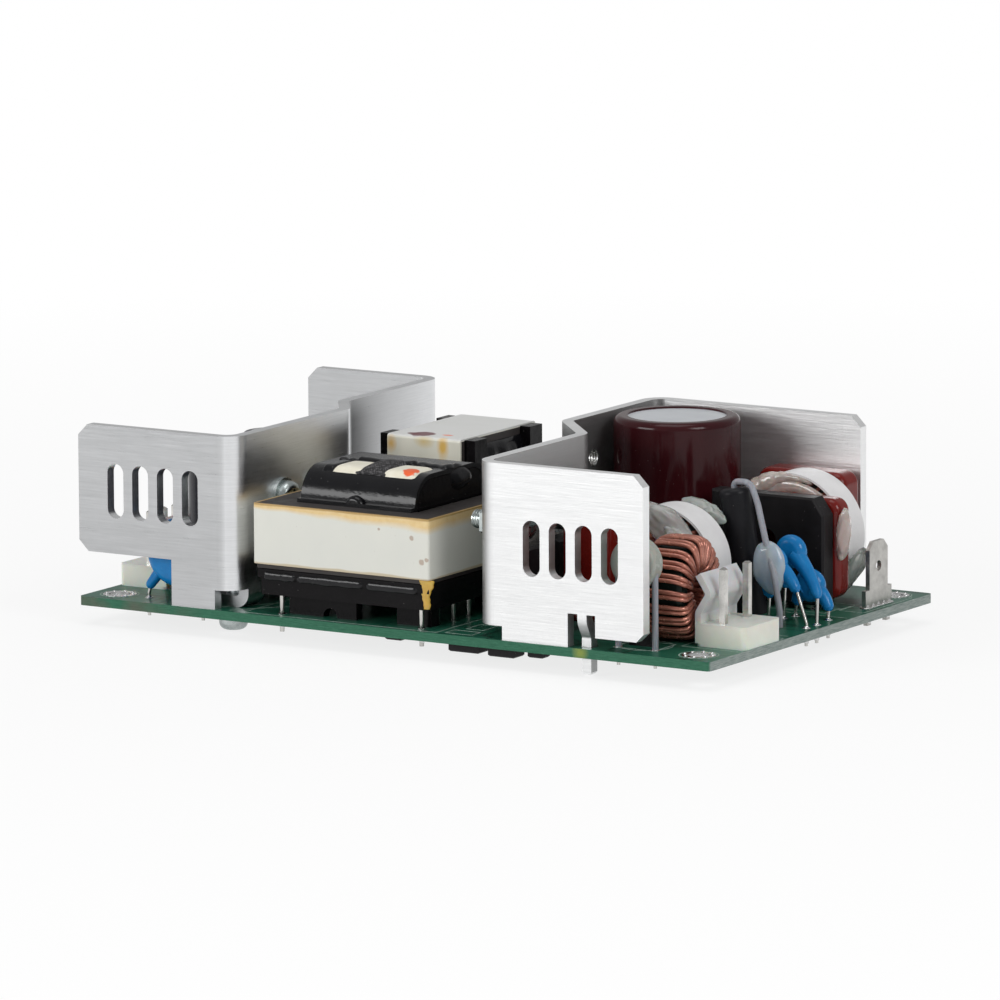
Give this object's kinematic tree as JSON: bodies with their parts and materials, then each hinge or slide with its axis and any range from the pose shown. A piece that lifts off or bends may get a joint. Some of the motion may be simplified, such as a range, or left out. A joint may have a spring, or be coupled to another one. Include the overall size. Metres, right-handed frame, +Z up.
{
  "type": "open frame power supply",
  "caption": "Open frame mains power supply: a board with folded aluminium heatsinks, transformer, chokes, capacitors, input and output headers and an earth blade.",
  "frame": {"origin": "middle of the four mounting holes, on the underside of the circuit board", "axes": "+X along the board from the output header to the input header, +Y from the front edge to the back edge, +Z up through the components; the heatsinks' flanges with the slots face -Y"},
  "size_m": [0.127, 0.0762, 0.035],
  "materials": {
    "laminate": "satin solder resist",
    "aluminium_sheet": "brushed sheet",
    "plated_steel": "zinc plated",
    "black_epoxy": "matt moulded",
    "tinned_copper": "dull tin",
    "pad_silicone": "matt",
    "ferrite": "ground ferrite",
    "core_coating": "painted powder core",
    "core_tape": "polyester tape",
    "tinned_steel": "bright tin",
    "black_moulding": "moulded",
    "taped_coil": "wrapped in tape",
    "dark_coil": "wrapped in dark tape",
    "can_aluminium": "bright can",
    "maroon_sleeve": "shrunk sleeve",
    "grey_disc": "grey card",
    "enamelled_wire": "enamelled copper",
    "red_resin": "dipped resin",
    "blue_resin": "dipped resin",
    "nylon": "natural nylon",
    "fuse_body": "ceramic tube",
    "black_sleeve": "shrunk sleeve",
    "pale_sleeve": "soft sleeve",
    "limiter_coating": "coated disc",
    "dark_can_sleeve": "sleeved can"
  },
  "bodies": {
    "root": {"circuit_board": "laminate", "left_heatsink": "aluminium_sheet", "right_heatsink": "aluminium_sheet", "board_screws": "plated_steel", "device_screws": "plated_steel", "device_washers": "plated_steel", "device_nuts": "plated_steel", "output_rectifier_front": "black_epoxy", "output_rectifier_rear": "black_epoxy", "switching_transistor_front": "black_epoxy", "switching_transistor_rear": "black_epoxy", "bridge_rectifier": "black_epoxy", "isolator": "black_epoxy", "surface_parts": "black_epoxy", "device_lead_frames": "tinned_copper", "insulating_pads": "pad_silicone", "main_transformer_core_left": "ferrite", "main_transformer_core_right": "ferrite", "rear_inductor_core_front": "ferrite", "rear_inductor_core_back": "ferrite", "first_line_choke_core": "ferrite", "second_line_choke_core": "ferrite", "boost_choke_core": "core_coating", "main_transformer_tape": "core_tape", "rear_inductor_tape": "core_tape", "first_line_choke_tape": "core_tape", "second_line_choke_tape": "core_tape", "main_transformer_pins": "tinned_steel", "rear_inductor_pins": "tinned_steel", "header_pins": "tinned_steel", "component_leads": "tinned_steel", "earth_blade_terminal": "tinned_steel", "main_transformer_bobbin": "black_moulding", "main_transformer_cover": "black_moulding", "rear_inductor_bobbin": "black_moulding", "main_transformer_winding": "taped_coil", "rear_inductor_winding": "dark_coil", "bulk_capacitor_can": "can_aluminium", "bulk_capacitor_sleeve": "maroon_sleeve", "bulk_capacitor_disc": "grey_disc", "boost_choke_winding": "enamelled_wire", "first_line_choke_winding": "enamelled_wire", "second_line_choke_winding": "enamelled_wire", "front_film_capacitor": "red_resin", "middle_film_capacitor": "red_resin", "rear_film_capacitor": "red_resin", "line_disc_capacitor_front": "blue_resin", "line_disc_capacitor_middle": "blue_resin", "line_disc_capacitor_rear": "blue_resin", "output_disc_capacitor": "blue_resin", "input_header_housing": "nylon", "output_header_housing": "nylon", "fuse_cartridge": "fuse_body", "fuse_sleeve": "black_sleeve", "fuse_return_lead": "pale_sleeve", "inrush_limiter_sleeves": "pale_sleeve", "inrush_limiter": "limiter_coating", "output_capacitor_1": "dark_can_sleeve", "output_capacitor_2": "dark_can_sleeve", "output_capacitor_3": "dark_can_sleeve"}
  },
  "joints": []
}
